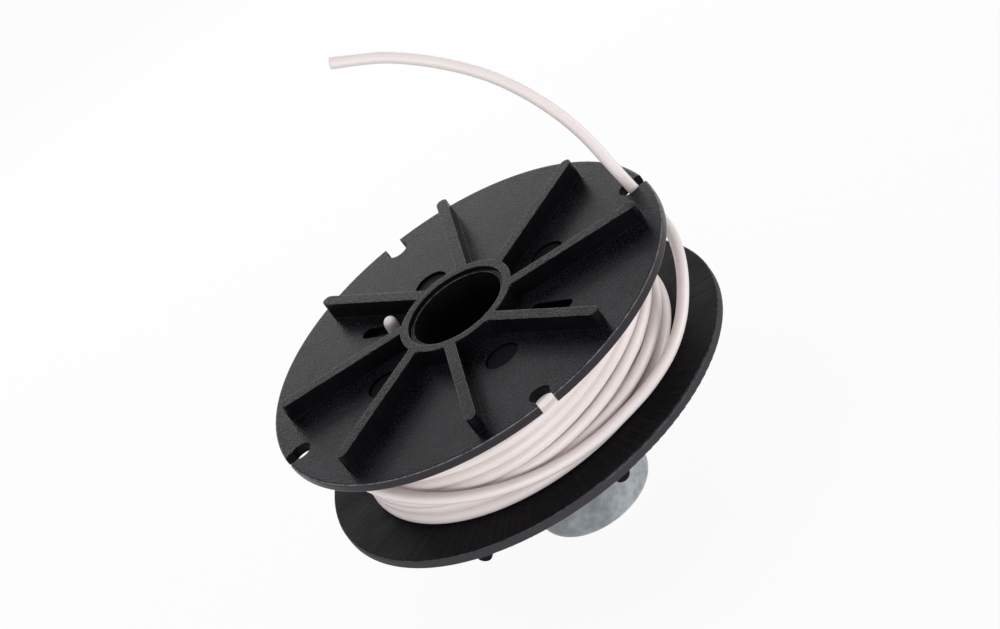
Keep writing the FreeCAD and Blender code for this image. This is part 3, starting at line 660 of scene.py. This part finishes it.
# %% [markdown]
# ## Turned steel
#
# The stud that the cap turns on and its two washers are turned on a lathe, which leaves fine rings
# round the axis. The same streak group as on the zinc gives them, only finer and deeper.

# %% Bright turned steel
steel, tree, shader, position = new_material("bright_steel_turned")
rings = use_group(tree, streak_group, position, Round=5200.0)["Circular"]
join(tree, blend_colors(tree, rings, (0.46, 0.46, 0.47), (0.60, 0.60, 0.61)), shader["Base Color"])
shader["Metallic"].default_value = 1.0
join(tree, remap(tree, rings, 0.3, 0.7, 0.24, 0.36), shader["Roughness"])
join(tree, bump(tree, rings, strength=0.30, distance=0.00002), shader["Normal"])

# %% [markdown]
# ## Nylon line
#
# Natural nylon is milky: light goes a little way in, warms, and comes out again, so gaps between
# strands look pinkish and not grey. Subsurface scattering with a longer red path does this. The die
# leaves a satin surface with very slight ripples.

# %% Nylon
NYLON_DARK, NYLON_PALE = (0.840, 0.760, 0.745), (0.860, 0.785, 0.770)

nylon, tree, shader, position = new_material("nylon_line_natural")
cloud = remap(tree, noise(tree, position, scale=120.0, detail=3.0, roughness=0.5), 0.3, 0.7)
join(tree, blend_colors(tree, cloud, NYLON_DARK, NYLON_PALE), shader["Base Color"])
join(tree, math_node(tree, "MULTIPLY_ADD", cloud, 0.10, 0.34), shader["Roughness"])
shader["IOR"].default_value = 1.53
shader["Subsurface Weight"].default_value = 0.15
shader["Subsurface Radius"].default_value = (1.0, 0.75, 0.70)
shader["Subsurface Scale"].default_value = 0.0005
ripples = noise(tree, position, scale=1800.0, detail=2.0, roughness=0.5)
join(tree, bump(tree, ripples, strength=0.08, distance=0.00004), shader["Normal"])

# %% [markdown]
# ## Pieces and finishes
#
# The hard pieces keep their CAD meshes and only change their material. The line replaces the four plain
# solids that stand for it, and rides with the reel.

# %% Give each piece its material
def dress(name, material):
    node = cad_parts[name]
    if node.material_slots:
        for material_slot in node.material_slots:
            material_slot.material = material
    else:
        node.data.materials.append(material)
    print(name, "is", material.name)


dress("upper_flange", upper_plastic)
dress("lower_flange", lower_plastic)
dress("glide_cap", zinc)
for name in ("cap_stud", "thrust_washer", "push_on_washer"):
    dress(name, steel)
curve.materials.append(nylon)

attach(line, "reel")
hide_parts("line_core", "line_winding", "line_free_end", "line_inner_end")

# %% [markdown]
# ## The floor
#
# The photograph has a plain white ground. A wide floor catches the object's shadow. It glows a little of
# itself, like a lit table, so that the undersides are not lost. To the camera, and in reflections and
# through glass, it is nearly white: Light Path tells these rays from those that light the object.

# %% Helpers for the background
WHITE = (1.0, 1.0, 1.0, 1.0)


def background_rays(tree):
    rays = add_node(tree, "ShaderNodeLightPath")
    seen = math_node(tree, "MAXIMUM", rays.outputs["Is Camera Ray"], rays.outputs["Is Glossy Ray"])
    return math_node(tree, "MAXIMUM", seen, rays.outputs["Is Transmission Ray"])


def mix_shaders(tree, amount, first, second, output):
    mix = add_node(tree, "ShaderNodeMixShader")
    join(tree, amount, mix.inputs["Fac"])
    join(tree, first.outputs[0], mix.inputs[1])
    join(tree, second.outputs[0], mix.inputs[2])
    join(tree, mix.outputs[0], output.inputs["Surface"])


# %% Floor
FLOOR_HALF_SIZE = 4.0
FLOOR_GLOW_SEEN, FLOOR_GLOW = 0.93, 0.45

floor_mesh = bpy.data.meshes.new("floor")
shape = bmesh.new()
bmesh.ops.create_grid(shape, x_segments=1, y_segments=1, size=FLOOR_HALF_SIZE)
shape.to_mesh(floor_mesh)
shape.free()
floor = bpy.data.objects.new("floor", floor_mesh)
scene.collection.objects.link(floor)
floor.location = (0.0, 0.0, -0.0002)

floor_material = bpy.data.materials.new("pale_floor")
floor_material.use_nodes = True
tree = floor_material.node_tree
tree.nodes.clear()
diffuse = add_node(tree, "ShaderNodeBsdfDiffuse")
diffuse.inputs["Color"].default_value = (0.90, 0.90, 0.90, 1.0)
glow = add_node(tree, "ShaderNodeEmission")
glow.inputs["Color"].default_value = WHITE
glow.inputs["Strength"].default_value = 1.0
seen = math_node(tree, "MULTIPLY", background_rays(tree), FLOOR_GLOW_SEEN)
glow_amount = math_node(tree, "MAXIMUM", seen, FLOOR_GLOW)
mix_shaders(tree, glow_amount, diffuse, glow, add_node(tree, "ShaderNodeOutputMaterial"))
floor_mesh.materials.append(floor_material)
print("floor:", floor.name, 2.0 * FLOOR_HALF_SIZE, "m wide")

# %% [markdown]
# ## The light
#
# The photograph is lit from large soft sources. Four large lamps stand round the spool. One is
# overhead. One at the right gives the rims and the cap their bright side. One in front fills the
# winding. One low behind is mirrored in the far part of the ribbed face, which is why that part is the
# brightest. The world adds an even fill, and is white wherever it is seen or mirrored.

# %% Lamps
MIDDLE = Vector((0.0, 0.0, 0.04))


def softbox(name, place, width, height, power):
    data = bpy.data.lights.new(name, "AREA")
    data.shape = "RECTANGLE"
    data.size = width
    data.size_y = height
    data.energy = power
    lamp = bpy.data.objects.new(name, data)
    lamp.location = place
    lamp.rotation_euler = (MIDDLE - Vector(place)).to_track_quat("-Z", "Y").to_euler()
    scene.collection.objects.link(lamp)
    print("lamp:", name, power, "W")


softbox("overhead", (-0.25, 0.15, 1.15), 0.9, 0.7, 2.5)
softbox("right", (1.10, -0.20, 0.16), 0.6, 0.3, 3.6)
softbox("front", (-0.30, -1.20, 0.22), 1.0, 0.4, 7.8)
softbox("behind", (0.06, 0.25, 0.11), 0.32, 0.08, 0.24)

# %% World and colours
FILL = 0.38

world = bpy.data.worlds.new("studio")
scene.world = world
world.use_nodes = True
tree = world.node_tree
tree.nodes.clear()
fill = add_node(tree, "ShaderNodeBackground")
white = add_node(tree, "ShaderNodeBackground")
for background, strength in ((fill, FILL), (white, 1.0)):
    background.inputs["Color"].default_value = WHITE
    background.inputs["Strength"].default_value = strength
mix_shaders(tree, background_rays(tree), fill, white, add_node(tree, "ShaderNodeOutputWorld"))
scene.view_settings.view_transform = "Standard"
print("world:", world.name)
